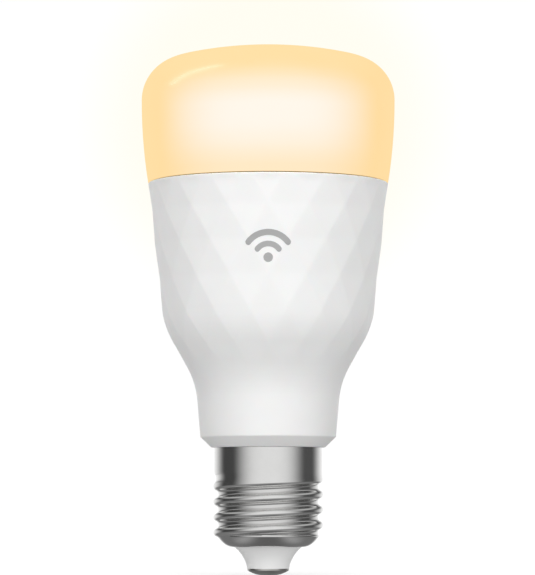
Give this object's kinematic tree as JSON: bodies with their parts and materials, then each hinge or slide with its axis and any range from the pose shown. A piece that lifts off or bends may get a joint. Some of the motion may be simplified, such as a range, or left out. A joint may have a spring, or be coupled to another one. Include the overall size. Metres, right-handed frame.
{
  "type": "smart light bulb",
  "caption": "Screw-in LED smart bulb with an opal dome, a faceted tapered housing, a threaded metal cap and a separate lamp driver and radio board inside.",
  "frame": {"origin": "tip of the centre contact, on the lamp axis", "axes": "+Z along the lamp axis from the cap to the dome; +Y is the side the radio board stands on; -Y faces the viewer in front"},
  "size_m": [0.0604, 0.0604, 0.1259],
  "materials": {
    "opal_diffuser": "translucent opal, lit from inside",
    "white_housing": "fine satin moulding",
    "seal_silicone": "matte silicone",
    "plated_shell": "nickel plate, polished",
    "insulator_moulding": "satin",
    "contact_plate": "nickel plated, lightly worn",
    "wire_insulation_red": "satin",
    "wire_insulation_white": "satin",
    "bare_aluminium": "drawn, satin",
    "thermal_silicone": "matte pad",
    "white_solder_mask": "semi gloss solder mask on aluminium",
    "warm_phosphor": "amber phosphor in a white package",
    "cool_phosphor": "yellow phosphor in a white package",
    "clear_led": "clear resin in a white package",
    "zinc_screws": "zinc plated",
    "green_solder_mask": "glass epoxy with green solder mask",
    "blue_solder_mask": "glass epoxy with blue solder mask",
    "capacitor_sleeve": "shrink sleeve",
    "ferrite": "ground ferrite",
    "bobbin_plastic": "phenolic",
    "winding_tape": "yellow polyester tape over copper",
    "enamelled_copper": "enamelled copper wire on ferrite",
    "film_box": "moulded box",
    "varistor_coat": "dipped epoxy",
    "resistor_coat": "flame proof coat",
    "chip_epoxy": "moulded epoxy",
    "tinned_can": "tinned steel",
    "gold_copper": "gold plated",
    "header_plastic": "moulded"
  },
  "bodies": {
    "lamp_body": {"housing": "white_housing", "diffuser_seal": "seal_silicone", "screw_shell": "plated_shell", "cap_insulator": "insulator_moulding", "centre_contact": "contact_plate", "live_wire": "wire_insulation_red", "neutral_wire": "wire_insulation_white", "heat_sink_cup": "bare_aluminium", "thermal_pad": "thermal_silicone", "led_board": "white_solder_mask", "warm_white_leds": "warm_phosphor", "cool_white_leds": "cool_phosphor", "colour_leds": "clear_led", "led_board_screws": "zinc_screws", "driver_board": "green_solder_mask", "input_capacitor": "capacitor_sleeve", "output_capacitor": "capacitor_sleeve", "transformer_core": "ferrite", "transformer_bobbin": "bobbin_plastic", "transformer_winding": "winding_tape", "emi_inductor": "enamelled_copper", "film_capacitor": "film_box", "varistor": "varistor_coat", "fusible_resistor": "resistor_coat", "bridge_rectifier": "chip_epoxy", "driver_ic": "chip_epoxy", "radio_board": "blue_solder_mask", "radio_shield_can": "tinned_can", "antenna_trace": "gold_copper", "header_pins": "gold_copper", "header_block": "header_plastic"},
    "diffuser": {"diffuser_dome": "opal_diffuser"}
  },
  "joints": [
    {"name": "diffuser_lift", "type": "slide", "parent": "lamp_body", "child": "diffuser", "axis": [0, 0, 1], "range_m": [0, 0.04]}
  ]
}
